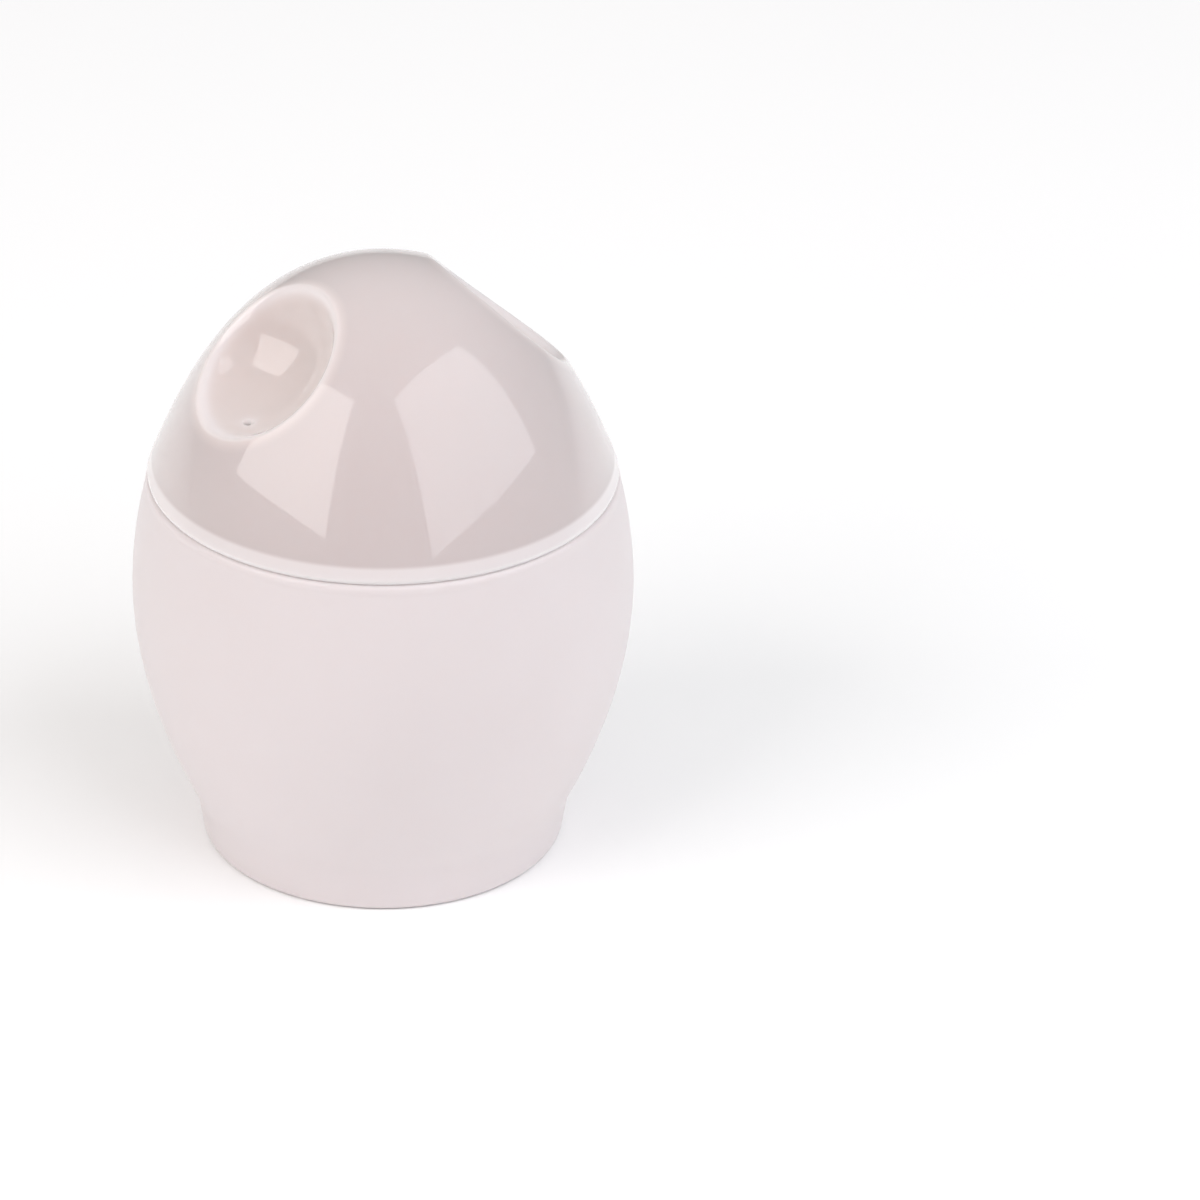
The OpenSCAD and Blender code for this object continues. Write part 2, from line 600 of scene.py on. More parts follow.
@dataclass
class Cup:
    """The cup: a round belly on a ring foot, with a rounded lip and a bowl that narrows to its floor.

    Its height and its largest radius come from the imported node.
    """

    finish: WhitePolypropylene
    height: float
    belly_r: float
    belly_z: float = 41.0
    lip_r: float = 34.9
    lip_round: float = 1.5
    lip_power: float = 2.7
    lip_w: float = 2.3
    wall: float = 2.2
    draft: float = 1.5
    bowl_round: float = 14.0
    floor_z: float = 9.0
    lower_fullness: float = 1.85
    upper_fullness: float = 1.95
    waist_r: float = 28.3
    waist_z: float = 7.2
    waist_blend: float = 0.5
    foot_r: float = 27.3
    foot_round: float = 1.2
    foot_w: float = 3.0
    recess_h: float = 6.4
    recess_draft: float = 3.0
    edge: float = 0.45
    recess_round: float = 1.0
    gate_r: float = 4.0
    gate_depth: float = 0.4
    gate_slope: float = 0.6
    nub_r: float = 1.1
    nub_round: float = 0.2
    nub_drop: float = 0.1
    nub_bevel: float = 0.15
    nub_land: float = 0.4
    foot_cap: float = 0.2
    columns: int = 320
    side_rows: int = 110
    bowl_rows: int = 40

    def side_r(self, height: np.ndarray) -> np.ndarray:
        """Outer radius of the side: the belly's radius less a power of the distance from the belly.

        Args:
            height: Heights above the table.

        Returns:
            A radius for each height.
        """
        below = np.clip(self.belly_z - height, 0.0, None) / (self.belly_z - self.waist_z)
        above = np.clip(height - self.belly_z, 0.0, None) / (self.height - self.belly_z)
        return (
            self.belly_r
            - (self.belly_r - self.waist_r) * below**self.lower_fullness
            - (self.belly_r - self.lip_r) * above**self.upper_fullness
        )

    def outer_r(self, height: np.ndarray) -> np.ndarray:
        """Outer radius: the greater of the foot's straight side and the curved side, blended at the waist.

        Args:
            height: Heights above the table.

        Returns:
            A radius for each height.
        """
        rise = (height - self.foot_round) / (self.waist_z - self.foot_round)
        foot = self.foot_r + (self.waist_r - self.foot_r) * rise
        foot = np.where(height > self.waist_z, np.minimum(foot, self.waist_r + self.foot_cap), foot)
        return -smooth_min(-foot, -self.side_r(height), self.waist_blend)

    def inner_r(self, height: np.ndarray) -> np.ndarray:
        """Inner radius: the mouth's radius less its draft, kept a wall inside the outside."""
        drafted = self.lip_r - self.lip_w - (self.height - height) * math.tan(math.radians(self.draft))
        return np.minimum(drafted, self.side_r(height) - self.wall)

    def outside(self) -> np.ndarray:
        """Outline from the middle of the recess, under the foot, up the side and over the lip.

        The lip is a quarter of a superellipse: its two coordinates, each as a share of the lip's round
        and raised to the lip's power, add up to one.

        Returns:
            Rows of radius and height.
        """
        recess_r = self.foot_r - self.foot_w
        recess_top = recess_r - self.recess_h * math.tan(math.radians(self.recess_draft))
        turn = self.height - self.lip_round
        heights = np.linspace(self.foot_round, turn, self.side_rows)
        side = np.stack([self.outer_r(heights), heights], axis=1)
        roof, corner = self.recess_h, self.recess_round
        dish, dish_r = roof + self.gate_depth, self.gate_r - self.gate_slope
        nub, soft, tip = self.nub_r, self.nub_round, roof - self.nub_drop
        under = join(
            line((SMALL_MM, tip), (nub - soft, tip), 2),
            arc((nub - soft, tip + soft), soft, -90.0, 0.0, 3),
            line((nub, dish - self.nub_bevel), (nub + self.nub_bevel, dish), 1),
            line((nub + self.nub_land, dish), (dish_r, dish), 3),
            line((dish_r, dish), (self.gate_r, roof), 3),
            line((self.gate_r + STEP_MM, roof), (recess_top - corner, roof), 12),
            arc((recess_top - corner, roof - corner), corner, 90.0, 0.0, 6),
            line((recess_top, roof - corner - STEP_MM), (recess_r, self.edge), 5),
            arc((recess_r + self.edge, self.edge), self.edge, 180.0, 270.0, 5),
            arc((side[0, 0] - self.foot_round, self.foot_round), self.foot_round, -90.0, 0.0, 8),
        )
        lip_edge = side[-1, 0]
        swing = np.radians(np.linspace(0.0, 90.0, 17))
        bulge = np.stack([np.cos(swing), np.sin(swing)], axis=1).clip(0.0) ** (2.0 / self.lip_power)
        lip = np.array([lip_edge - self.lip_round, turn]) + self.lip_round * bulge
        return join(under, side, lip)

    def inside(self) -> np.ndarray:
        """Outline from the lip's flat land down the bowl to the middle of its floor.

        Returns:
            Rows of radius and height.
        """
        mouth = self.lip_r - self.lip_w
        land_r = self.lip_r - self.lip_round - 0.5 * STEP_MM
        land = line((land_r, self.height), (mouth + self.edge, self.height), 2)
        edge = arc((mouth + self.edge, self.height - self.edge), self.edge, 90.0, 180.0, 5)
        top = self.floor_z + self.bowl_round
        heights = np.linspace(self.height - self.edge - 2.0 * STEP_MM, top, self.bowl_rows)
        wall = np.stack([self.inner_r(heights), heights], axis=1)
        corner = arc((float(wall[-1, 0]) - self.bowl_round, top), self.bowl_round, 0.0, -90.0, 24)
        floor = line((float(corner[-1, 0]), self.floor_z), (SMALL_MM, self.floor_z), 12)
        return join(land, edge, wall, corner, floor)

    def build(self) -> bpy.types.Object:
        """Builds the cup as one closed surface of revolution.

        Returns:
            The cup, dressed and riding on its body.
        """
        angles = np.linspace(0.0, 2.0 * math.pi, self.columns, endpoint=False)
        outline = join(self.outside(), self.inside())
        builder = MeshBuilder()
        numbers = builder.add_points(revolve(outline, angles))
        builder.add_quads(numbers, wrap=True)
        builder.add_fan(np.array([0.0, 0.0, outline[0, 1]]), numbers[0])
        builder.add_fan(np.array([0.0, 0.0, outline[-1, 1]]), numbers[-1])
        cup = builder.build("white_cup", sharp_angle=50.0)
        cup.data.materials.append(self.finish.build())
        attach(cup, "cup")
        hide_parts("cup")
        return cup


# ---- The lid ----


@dataclass
class Dome:
    """The plain dome's section: a cubic curve from its lower edge, leaning in, to its flat crown."""

    edge_r: float
    edge_z: float
    height: float
    side_lean: float = 21.0
    side_pull: float = 0.58
    crown_pull: float = 0.51
    samples: int = 6000

    def controls(self) -> np.ndarray:
        """The four control points of the curve.

        Returns:
            Four rows of radius and height above the seat.
        """
        rise = self.side_pull * self.height
        run = rise * math.tan(math.radians(self.side_lean))
        return np.array(
            [
                [self.edge_r, self.edge_z],
                [self.edge_r - run, self.edge_z + rise],
                [self.crown_pull * self.edge_r, self.height],
                [0.0, self.height],
            ]
        )

    def curve(self, share: np.ndarray, offset: float = 0.0) -> np.ndarray:
        """Points on the cubic curve, moved in along its normal.

        Args:
            share: Position on the curve, from 0 at the edge to 1 at the crown.
            offset: How far inside the curve the points lie.

        Returns:
            Rows of radius and height above the seat.
        """
        a, b, c, d = self.controls()
        t = share[:, None]
        point = (1 - t) ** 3 * a + 3 * (1 - t) ** 2 * t * b + 3 * (1 - t) * t**2 * c + t**3 * d
        run = (1 - t) ** 2 * (b - a) + 2 * (1 - t) * t * (c - b) + t**2 * (d - c)
        out = np.stack([run[:, 1], -run[:, 0]], axis=1)
        return point - offset * out / np.linalg.norm(out, axis=1, keepdims=True)

    def section(self, offset: float, lowest: float) -> np.ndarray:
        """The curve as a dense outline from a lowest height to the crown.

        Args:
            offset: How far inside the curve the outline lies.
            lowest: The lowest height.

        Returns:
            Rows of radius and height above the seat.
        """
        points = self.curve(np.linspace(0.0, 1.0, self.samples), offset)
        kept = points[points[:, 1] > lowest + 1e-6]
        start_r = float(np.interp(lowest, points[:, 1], points[:, 0]))
        outline = np.concatenate([[[start_r, lowest]], kept])
        outline[-1, 0] = 0.0
        return outline


@dataclass
class Section:
    """A dense section of a dome, with what is needed to find points on the dome turned from it."""

    outline: np.ndarray
    angle: np.ndarray = field(init=False)
    reach: np.ndarray = field(init=False)
    length: np.ndarray = field(init=False)

    def __post_init__(self) -> None:
        """Works out each point's angle and distance from the seat's middle, and its way to the crown."""
        radius, height = self.outline[:, 0], self.outline[:, 1]
        self.angle = np.arctan2(height, radius)
        self.reach = np.hypot(radius, height)
        steps = np.linalg.norm(np.diff(self.outline, axis=0), axis=1)
        run = np.concatenate([[0.0], np.cumsum(steps)])
        self.length = 1.0 - run / run[-1]

    def outside_by(self, points: np.ndarray) -> np.ndarray:
        """How far points lie outside the dome: their distance from the seat's middle less the dome's.

        Args:
            points: Points above the seat.

        Returns:
            A distance for each point, below zero inside the dome.
        """
        radius = np.hypot(points[..., 0], points[..., 1])
        angle = np.arctan2(points[..., 2], radius)
        return np.hypot(radius, points[..., 2]) - np.interp(angle, self.angle, self.reach)

    def to_disc(self, points: np.ndarray) -> np.ndarray:
        """Points on the dome as points of a flat disc: its middle is the crown and its rim is the edge.

        Args:
            points: Points on the dome.

        Returns:
            Two coordinates for each point, at most one away from the middle.
        """
        angle = np.arctan2(points[..., 2], np.hypot(points[..., 0], points[..., 1]))
        share = np.interp(angle, self.angle, self.length)
        turn = np.arctan2(points[..., 1], points[..., 0])
        return np.stack([share * np.cos(turn), share * np.sin(turn)], axis=-1)

    def from_disc(self, disc: np.ndarray) -> np.ndarray:
        """Points of the flat disc put back on the dome.

        Args:
            disc: Points of the disc.

        Returns:
            Points on the dome.
        """
        share = np.hypot(disc[..., 0], disc[..., 1])
        turn = np.arctan2(disc[..., 1], disc[..., 0])
        along = self.length[::-1]
        radius = np.interp(share, along, self.outline[::-1, 0])
        height = np.interp(share, along, self.outline[::-1, 1])
        return np.stack([radius * np.cos(turn), radius * np.sin(turn), height], axis=-1)


@dataclass
class Dimple:
    """A finger dimple on the +X side: a ball pressed into the dome, with a rolled rim and a vent."""

    ball_r: float = 13.8
    depth: float = 10.1
    place: float = 0.51
    roll: float = 2.8
    inner_roll: float = 1.4
    vent_r: float = 0.4
    vent_flare: float = 0.5
    vent_angle: float = 39.0
    # The rim's circle and width, and the vent spot's width, place the painted glow on the rim and the
    # painted highlight at the vent.
    rim_r: float = 12.4
    rim_w: float = 0.9
    vent_highlight_w: float = 1.4
    columns: int = 224
    rim_foot: float = 9.5
    rim_fade: float = 2.5
    # Reach and fade of the hollow, where the tint is painted warmer as painted bounce light.
    hollow_reach: float = 2.6
    hollow_fade: float = 2.0
    bowl_rows: int = 30
    roll_rows: int = 14
    dome_rows: int = 40
    dome_spread: float = 1.25
    patch: int = 5
    vent_rows: tuple[float, ...] = (0.35, 0.7, 1.0)
    # Where the heights and reaches of the dome and the ball are searched for.
    lowest: float = -26.0
    highest: float = -0.5
    least_reach: float = 2.0


@dataclass
class HalfSurface:
    """Half of the lid's inner or outer skin: rows run from the dimple's middle to the half's border."""

    grid: np.ndarray
    middle: np.ndarray
    ball: np.ndarray
    ball_r: float
    border: np.ndarray
    corner: int


@dataclass
class Lid:
    """The lid: a dome with two opposite finger dimples, a thick lower ring and a skirt.

    Its radius, its top and its skirt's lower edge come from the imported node.
    """

    finish: MilkyPolypropylene
    radius: float
    seat_z: float
    top_z: float
    bottom_z: float
    wall: float = 1.3
    edge: float = 0.8
    tip: float = 0.12
    ring_h: float = 2.2
    skirt_r: float = 32.3
    skirt_t: float = 1.4
    bevel: float = 0.4
    swell: float = 0.3
    tip_in: float = 0.1
    seat_round: float = 0.3
    ring_round: float = 0.5
    dimple: Dimple = field(default_factory=Dimple)
    dome: Dome = field(init=False)
    lift: np.ndarray = field(init=False)

    def __post_init__(self) -> None:
        """Sets up the dome from the lid's own radius and height, and the lift from the seat's level."""
        self.lift = np.array([0.0, 0.0, self.seat_z])
        self.dome = Dome(edge_r=self.radius, edge_z=self.edge, height=self.top_z - self.seat_z)

    def ball_place(self) -> tuple[np.ndarray, np.ndarray]:
        """Finds the ball that shapes the dimple: out along the dome's normal by its radius less the depth.

        Returns:
            The ball's middle and the outward direction through it.
        """
        step = 1e-4
        here = self.dome.curve(np.array([self.dimple.place]))[0]
        inside = self.dome.curve(np.array([self.dimple.place]), offset=step)[0]
        out = (here - inside) / step
        middle = here + (self.dimple.ball_r - self.dimple.depth) * out
        return np.array([middle[0], 0.0, middle[1]]), np.array([out[0], 0.0, out[1]])

    def half_skin(
        self, section: Section, ball_r: float, roll: float, border: np.ndarray | None
    ) -> HalfSurface:
        """The +X half of a skin: rings round the dimple that open out into the dome.

        Looking along the dimple's own axis, the dome and the ball are two heights over a flat plane, and
        the skin is the lesser of the two with a smooth blend, which rolls the rim. Outside the rim the
        rings spread, over a flat disc that stands for the dome, until they reach the half's border.

        Args:
            section: The plain dome's section for this skin.
            ball_r: Radius of the ball for this skin.
            roll: Size of the smooth blend at the rim.
            border: Border points on the disc from the other skin, or None to work them out.

        Returns:
            The half skin.
        """
        shape = self.dimple
        ball, out = self.ball_place()
        up = np.array([-out[2], 0.0, out[0]])
        across = np.array([0.0, -1.0, 0.0])
        turn = np.linspace(0.0, 2.0 * math.pi, shape.columns, endpoint=False)
        spokes = np.cos(turn)[:, None] * up + np.sin(turn)[:, None] * across

        def dome_height(reach: np.ndarray) -> np.ndarray:
            """Height of the plain dome over the plane through the ball's middle.

            Args:
                reach: Distances from the dimple's axis, a row of them for each ring.

            Returns:
                A height for each distance.
            """
            foot = ball + reach[..., None] * spokes
            low, high = np.full(reach.shape, shape.lowest), np.full(reach.shape, shape.highest)
            return bisect(lambda h: section.outside_by(foot + h[..., None] * out), low, high)

        def ball_height(reach: np.ndarray) -> np.ndarray:
            """Height of the ball's far side over the same plane."""
            return -np.sqrt(np.clip(ball_r**2 - reach**2, 0.0, None))

        def meet(lead: float) -> np.ndarray:
            """Reach at which the ball has come up to the dome's height less a lead."""
            low, high = np.full(len(turn), shape.least_reach), np.full(len(turn), ball_r - SMALL_MM)
            return bisect(lambda reach: ball_height(reach) - dome_height(reach) + lead, low, high)

        inner, outer = meet(roll), meet(-roll)
        bowl = np.linspace(0.0, 1.0, shape.bowl_rows + 1)[1:, None] * inner
        rolled = inner + np.linspace(0.0, 1.0, shape.roll_rows + 1)[1:, None] * (outer - inner)
        reach = np.concatenate([bowl, rolled])
        height = smooth_min(dome_height(reach), ball_height(reach), roll)
        near = ball + reach[..., None] * spokes + height[..., None] * out
        start = section.to_disc(near[-1])
        if border is None:
            above = ball + dome_height(np.zeros(1))[:, None] * out
            border = self.half_border(start, section.to_disc(above)[0])
        share = np.linspace(0.0, 1.0, shape.dome_rows + 1)[1:, None, None] ** shape.dome_spread
        far = section.from_disc((1.0 - share) * start + share * border)
        grid = np.concatenate([near, far])
        on_seam = np.abs(border[:, 0]) < TINY
        grid[-1, on_seam, 0] = 0.0
        corner = int(np.argmax(np.hypot(border[:, 0], border[:, 1]) > 1.0 - TINY))
        return HalfSurface(grid, ball - ball_r * out, ball, ball_r, border, corner)

    def half_border(self, start: np.ndarray, middle: np.ndarray) -> np.ndarray:
        """Where rays from the dimple's middle leave the half disc: at its straight side or its rim.

        Args:
            start: Points on the disc, one for each column.
            middle: The dimple's middle on the disc.

        Returns:
            Border points on the disc, with one column exactly at each corner.
        """
        ray = start - middle
        ray = ray / np.linalg.norm(ray, axis=1, keepdims=True)
        to_side = np.where(ray[:, 0] < -TINY, -middle[0] / np.minimum(ray[:, 0], -TINY), np.inf)
        along = ray @ middle
        to_rim = -along + np.sqrt(along**2 - middle @ middle + 1.0)
        border = middle + np.minimum(to_side, to_rim)[:, None] * ray
        border[to_side <= to_rim, 0] = 0.0
        for corner in (np.array([0.0, -1.0]), np.array([0.0, 1.0])):
            border[np.argmin(np.linalg.norm(border - corner, axis=1))] = corner
        return border

    def foot_outline(self, inner_edge: np.ndarray) -> np.ndarray:
        """Outline from the lid's outer edge, under the seat, round the skirt and up to the dome's inside.

        The edge is a parabola's arc: its start, its pull and its tip, weighted by the squares and the
        doubled product of the two shares.

        Args:
            inner_edge: Radius and height of the inner skin's lowest point.

        Returns:
            Rows of radius and height above the seat.
        """
        low = self.bottom_z - self.seat_z
        inner = self.skirt_r - self.skirt_t
        lean = math.radians(self.dome.side_lean)
        start = np.array([self.radius, self.edge])
        pull = start + self.swell * np.array([math.sin(lean), -math.cos(lean)])
        tip_r, fillet, soft = self.radius - self.tip_in, self.seat_round, self.ring_round
        corner = np.array([tip_r, self.tip])
        share = np.linspace(0.0, 1.0, 9)[:, None]
        swell = (1.0 - share) ** 2 * start + 2.0 * (1.0 - share) * share * pull + share**2 * corner
        return join(
            swell,
            arc((tip_r - self.tip, self.tip), self.tip, 0.0, -90.0, 5),
            line((tip_r - 2.0 * STEP_MM - self.tip, 0.0), (self.skirt_r + fillet, 0.0), 5),
            arc((self.skirt_r + fillet, -fillet), fillet, 90.0, 180.0, 4),
            line((self.skirt_r, -fillet - STEP_MM), (self.skirt_r, low + self.bevel + STEP_MM), 5),
            arc((self.skirt_r - self.bevel, low + self.bevel), self.bevel, 0.0, -90.0, 5),
            arc((inner + self.bevel, low + self.bevel), self.bevel, -90.0, -180.0, 5),
            line((inner, low + self.bevel + STEP_MM), (inner, self.ring_h - soft - STEP_MM), 7),
            arc((inner + soft, self.ring_h - soft), soft, 180.0, 90.0, 5),
            line((inner + soft + STEP_MM, self.ring_h), (float(inner_edge[0]), float(inner_edge[1])), 4),
        )

    def vent_patch(self, skin: HalfSurface) -> tuple[int, int, int, int]:
        """Finds the patch of a skin that its vent opens.

        Args:
            skin: The outer or the inner half skin.

        Returns:
            First and last row, and first and last column.
        """
        shape = self.dimple
        down = shape.columns // 2
        reach = skin.ball_r * math.sin(math.radians(shape.vent_angle))
        apart = skin.grid[: shape.bowl_rows, down] - skin.ball
        beside = np.linalg.norm(np.cross(apart, self.ball_place()[1]), axis=1)
        row = int(np.argmin(np.abs(beside - reach)))
        half = shape.patch
        return row - half // 2, row + half // 2, down - half, down + half

    def add_vent(
        self, builder: MeshBuilder, rings: list[tuple[np.ndarray, HalfSurface]], mirror: np.ndarray
    ) -> None:
        """Closes the open patches of both skins round a small round hole through the wall.

        Args:
            builder: The mesh that is being made.
            rings: For the outer and the inner skin, the numbers round the open patch, and the skin.
            mirror: Factors on X, Y and Z that put the half in its place.
        """
        shape = self.dimple
        ball, out = self.ball_place()
        angle = math.radians(shape.vent_angle)
        up = np.array([-out[2], 0.0, out[0]])
        axis = -math.cos(angle) * out - math.sin(angle) * up
        first = np.cross(axis, np.array([0.0, 1.0, 0.0]))
        second = np.cross(axis, first)
        flare = shape.vent_flare
        loops: list[np.ndarray] = []
        for numbers, skin in rings:
            points = np.concatenate(builder.points)[numbers] * mirror - (ball + self.lift)
            way = points / np.linalg.norm(points, axis=1, keepdims=True)
            spread = np.arccos(np.clip(way @ axis, -1.0, 1.0))
            around = np.arctan2(way @ second, way @ first)
            spoke = np.cos(around)[:, None] * first + np.sin(around)[:, None] * second
            inner = skin.ball_r + (flare if skin is rings[0][1] else -flare)
            mouth = math.asin((shape.vent_r + flare) / skin.ball_r)
            rows = [numbers]
            for share in shape.vent_rows:
                bend = ((1.0 - share) * spread + share * mouth)[:, None]
                place = skin.ball_r * (np.cos(bend) * axis + np.sin(bend) * spoke)
                rows.append(self.place_vent(builder, place + ball, mirror))
            throat = np.sqrt(inner**2 - shape.vent_r**2) * axis + shape.vent_r * spoke
            rows.append(self.place_vent(builder, throat + ball, mirror))
            builder.add_quads(np.stack(rows), wrap=True)
            loops.append(rows[-1])
        builder.add_quads(np.stack(loops), wrap=True)

    def place_vent(self, builder: MeshBuilder, points: np.ndarray, mirror: np.ndarray) -> np.ndarray:
        """Adds points of a vent, lifted to the seat and mirrored into their half."""
        return builder.add_points((points + self.lift) * mirror)

    def build(self) -> bpy.types.Object:
        """Builds the lid as one closed skin: outside, vents, inside, and the ring and skirt between them.

        Returns:
            The lid, dressed and riding on its body.
        """
        outer_section = Section(self.dome.section(0.0, self.edge))
        inner_section = Section(self.dome.section(self.wall, self.ring_h))
        shape = self.dimple
        outer = self.half_skin(outer_section, shape.ball_r, shape.roll, None)
        inner = self.half_skin(inner_section, shape.ball_r + self.wall, shape.inner_roll, outer.border)
        builder = MeshBuilder()
        for mirror in (np.array([1.0, 1.0, 1.0]), np.array([-1.0, 1.0, 1.0])):
            rings = []
            for skin in (outer, inner):
                numbers = builder.add_points((skin.grid + self.lift) * mirror)
                top, bottom, left, right = self.vent_patch(skin)
                hole = np.zeros((len(numbers) - 1, shape.columns), dtype=bool)
                hole[top:bottom, left:right] = True
                builder.add_quads(numbers, wrap=True, hole=hole)
                builder.add_fan((skin.middle + self.lift) * mirror, numbers[0])
                ring = np.concatenate(
                    [
                        numbers[top, left:right],
                        numbers[top:bottom, right],
                        numbers[bottom, right:left:-1],
                        numbers[bottom:top:-1, left],
                    ]
                )
                rings.append((ring, skin))
            self.add_vent(builder, rings, mirror)
        self.add_foot(builder, outer, inner)
        lid = builder.build("milky_lid", sharp_angle=60.0)
        self.mark_clearness_and_painted_light(lid.data)
        lid.data.materials.append(self.finish.build())
        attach(lid, "lid")
        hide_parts("lid")
        return lid

    def mark_clearness_and_painted_light(self, mesh: bpy.types.Mesh) -> None:
        """Marks how far each point is in a dimple's hollow, and where the lid is made less clear and
        painted whiter.

        The hollow fades out 0.6 to 2.6 mm outside the dimple's ball; there the tint is painted warmer, a
        painted bounce light, and the lid made less clear. The painted whiteness is a bell curve of the
        distance from the rim's circle about the dimple's axis, a painted glow on the rolled rim, and
        another of the distance from the vent, a painted highlight there.

        Args:
            mesh: The finished mesh, in metres.
        """
        flat = np.empty(len(mesh.vertices) * 3, dtype=np.float32)
        mesh.vertices.foreach_get("co", flat)
        points = flat.reshape(-1, 3) / MM - self.lift
        points[:, 0] = np.abs(points[:, 0])
        shape = self.dimple
        ball, out = self.ball_place()
        apart = points - ball
        along = apart @ out
        beside = np.linalg.norm(apart - along[:, None] * out, axis=1)
        beyond = np.linalg.norm(apart, axis=1) - shape.ball_r
        # The hollow's share, where the tint is painted warmer as painted bounce light.
        hollow = np.clip((shape.hollow_reach - beyond) / shape.hollow_fade, 0.0, 1.0)
        raised = np.clip((along + shape.rim_foot) / shape.rim_fade, 0.0, 1.0)
        # Painted glow: a band along the rolled rim, painted whiter and made less clear.
        rim = np.exp(-(((beside - shape.rim_r) / shape.rim_w) ** 2)) * raised
        # Painted highlight: a pale spot round the vent.
        angle = math.radians(shape.vent_angle)
        down = np.array([out[2], 0.0, -out[0]])
        vent = ball + shape.ball_r * (math.sin(angle) * down - math.cos(angle) * out)
        vent_highlight = np.exp(-((np.linalg.norm(points - vent, axis=1) / shape.vent_highlight_w) ** 2))
        thick = np.maximum(rim, vent_highlight)
        marks = {self.finish.hollow_attribute: hollow, self.finish.thick_and_glow_attribute: thick}
        for name, values in marks.items():
            layer = mesh.attributes.new(name, "FLOAT", "POINT")
            layer.data.foreach_set("value", values.astype(np.float32))

    def add_foot(self, builder: MeshBuilder, outer: HalfSurface, inner: HalfSurface) -> None:
        """Adds the lower ring and the skirt, with a column for each border point of the skins.

        Args:
            builder: The mesh that is being made.
            outer: The outer skin, whose lowest row the ring starts from.
            inner: The inner skin, whose lowest row the ring ends on.
        """
        rim = outer.border[outer.corner : self.dimple.columns - outer.corner + 1]
        half = np.arctan2(rim[:, 1], rim[:, 0])
        angles = np.concatenate([half, (math.pi - half)[-2:0:-1]])
        end = inner.grid[-1, inner.corner]
        outline = self.foot_outline(np.array([math.hypot(end[0], end[1]), end[2]]))
        outline = outline + np.array([0.0, self.seat_z])
        builder.add_quads(builder.add_points(revolve(outline, angles)), wrap=True)


# ---- The studio ----


def toward(azimuth: float, elevation: float) -> Vector:
    """A direction: the azimuth turns it from -Y towards +X, and the elevation lifts it from the table.

    Args:
        azimuth: Turn in degrees.
        elevation: Lift in degrees.

    Returns:
        A unit vector.
    """
    turn, rise = math.radians(azimuth), math.radians(elevation)
    return Vector((math.sin(turn) * math.cos(rise), -math.cos(turn) * math.cos(rise), math.sin(rise)))


@dataclass
class Softbox:
    """A rectangular studio light: where it hangs from the object and which way its back points."""

    name: str
    azimuth: float
    elevation: float
    back_azimuth: float
    back_elevation: float
    width: float
    height: float
    radiance: float
    distance: float = 1.1
    colour: str = "#FFFFFF"

    def build(self, target: Vector) -> bpy.types.Object:
        """Hangs the light, with a power of its radiance times pi times its area.

        Args:
            target: The point the light hangs at its distance from.

        Returns:
            The light, linked to the scene.
        """
        data = bpy.data.lights.new(self.name, "AREA")
        data.shape = "RECTANGLE"
        data.size, data.size_y = self.width, self.height
        data.energy = self.radiance * math.pi * self.width * self.height
        data.color = linear(self.colour)[:3]
        light = bpy.data.objects.new(self.name, data)
        light.location = target + toward(self.azimuth, self.elevation) * self.distance
        light.rotation_mode = "QUATERNION"
        light.rotation_quaternion = toward(self.back_azimuth, self.back_elevation).to_track_quat("Z", "Y")
        bpy.context.scene.collection.objects.link(light)
        return light


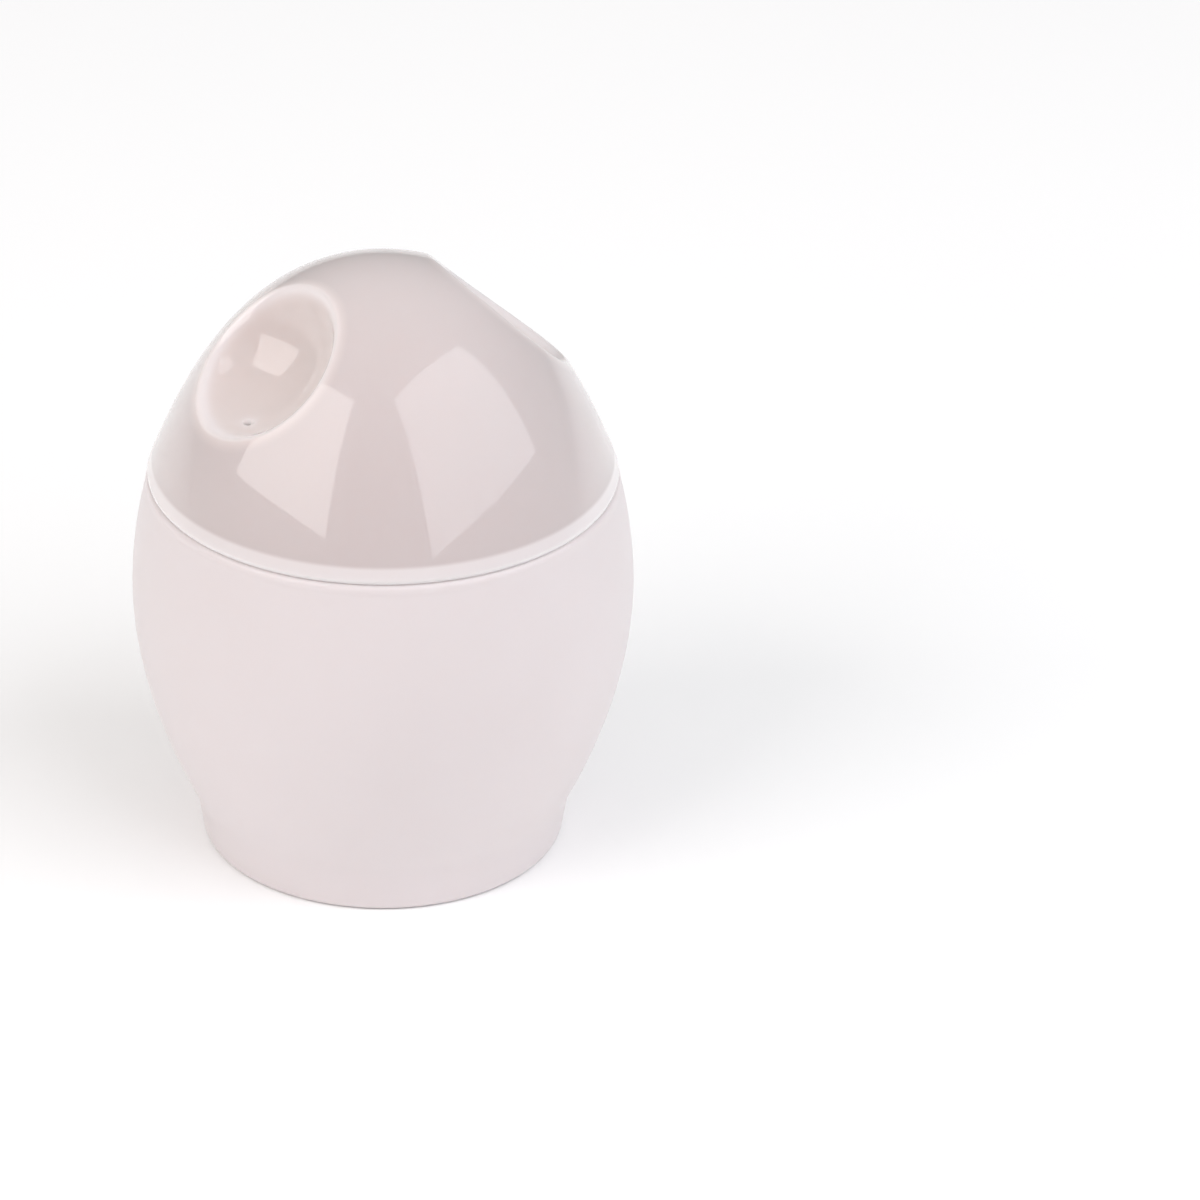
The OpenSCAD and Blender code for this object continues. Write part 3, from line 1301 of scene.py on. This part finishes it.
@dataclass
class Studio:
    """The pale table, the surrounding light, two softboxes and the camera."""

    target: Vector
    azimuth: float = -27.3
    elevation: float = 28.11
    distance: float = 1.188
    lens: float = 240.0
    aim_right: float = 0.0271
    aim_down: float = 0.01604
    sensor_mm: float = 36.0
    near_m: float = 0.05
    far_m: float = 50.0
    table_half_m: float = 4.0
    table_lines: int = 33
    wall_top: float = 0.1
    horizon_light: float = 0.18
    zenith_light: float = 0.78
    tabletop: PaleTabletop = field(default_factory=PaleTabletop)

    def build_table(self) -> bpy.types.Object:
        """Builds a large, flat tabletop whose top passes through the foot's lowest point.

        Returns:
            The tabletop.
        """
        side = np.linspace(-self.table_half_m, self.table_half_m, self.table_lines)
        x, y = np.meshgrid(side, side, indexing="ij")
        grid = np.stack([x, y, np.zeros_like(x)], axis=2) / MM
        builder = MeshBuilder()
        builder.add_quads(builder.add_points(grid), wrap=False)
        table = builder.build("tabletop", sharp_angle=60.0)
        if table.data.polygons[0].normal.z <= 0.0:
            table.data.flip_normals()
        table.data.materials.append(self.tabletop.build())
        return table

    def build_world(self) -> None:
        """Light from all round that grows smoothly with the height of its direction."""
        world = bpy.data.worlds.new("pale_studio")
        world.use_nodes = True
        background = world.node_tree.nodes["Background"]
        background.inputs["Color"].default_value = linear("#FFFDFC")
        place = add_node(world, "ShaderNodeTexCoord").outputs["Generated"]
        split = add_node(world, "ShaderNodeSeparateXYZ", links={"Vector": place})
        span = {"From Min": self.wall_top, "From Max": 1.0}
        strength = add_node(
            world,
            "ShaderNodeMapRange",
            settings={"interpolation_type": "SMOOTHSTEP"},
            values={**span, "To Min": self.horizon_light, "To Max": self.zenith_light},
            links={"Value": split.outputs["Z"]},
        )
        world.node_tree.links.new(strength.outputs["Result"], background.inputs["Strength"])
        bpy.context.scene.world = world

    def build_camera(self) -> bpy.types.Object:
        """Builds the camera, aimed a little right of and below the target, with uprights kept upright.

        Returns:
            The camera, made the scene's own.
        """
        back = toward(self.azimuth, self.elevation)
        side = toward(self.azimuth + 90.0, 0.0)
        up = back.cross(side)
        ahead = (-back + self.aim_right * side - self.aim_down * up).normalized()
        top = side.cross(ahead).normalized()
        right = ahead.cross(top)
        data = bpy.data.cameras.new("camera")
        data.lens, data.sensor_width = self.lens, self.sensor_mm
        data.clip_start, data.clip_end = self.near_m, self.far_m
        camera = bpy.data.objects.new("camera", data)
        turned = Matrix((right, top, -ahead)).transposed().to_4x4()
        camera.matrix_world = Matrix.Translation(self.target + back * self.distance) @ turned
        bpy.context.scene.collection.objects.link(camera)
        bpy.context.scene.camera = camera
        return camera

    def build_lights(self) -> None:
        """The two softboxes, left and right of the camera."""
        left = Softbox(
            "softbox_left",
            azimuth=self.azimuth - 61.0,
            elevation=39.2,
            back_azimuth=self.azimuth - 41.9,
            back_elevation=4.1,
            width=0.966,
            height=0.872,
            radiance=2.8,
            colour="#FFFCFA",
        )
        right = Softbox(
            "softbox_right",
            azimuth=self.azimuth + 61.4,
            elevation=44.8,
            back_azimuth=self.azimuth + 54.0,
            back_elevation=19.8,
            width=1.332,
            height=1.04,
            radiance=2.0,
            colour="#F6FAFF",
        )
        for box in (left, right):
            box.build(self.target)


def main() -> None:
    """Builds the cup, the lid and the studio, and logs each piece."""
    logging.basicConfig(level=logging.INFO, format="%(name)s: %(message)s")
    bpy.context.scene.view_settings.view_transform = "Standard"
    cup_low, cup_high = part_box("cup")
    lid_low, lid_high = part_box("lid")
    cup = Cup(finish=WhitePolypropylene(), height=cup_high.z / MM, belly_r=cup_high.x / MM)
    seat_z = cup_high.z / MM
    lid = Lid(
        finish=MilkyPolypropylene(ring_top_mm=seat_z + THICK_AND_GLOW_RING_MM),
        radius=lid_high.x / MM,
        seat_z=seat_z,
        top_z=lid_high.z / MM,
        bottom_z=lid_low.z / MM,
    )
    for part in (cup, lid):
        piece = part.build()
        LOG.info("built %s", piece.name)
    studio = Studio(target=Vector((0.0, 0.0, cup_high.z)))
    studio.build_table()
    studio.build_world()
    studio.build_lights()
    studio.build_camera()


if __name__ == "__main__":
    main()
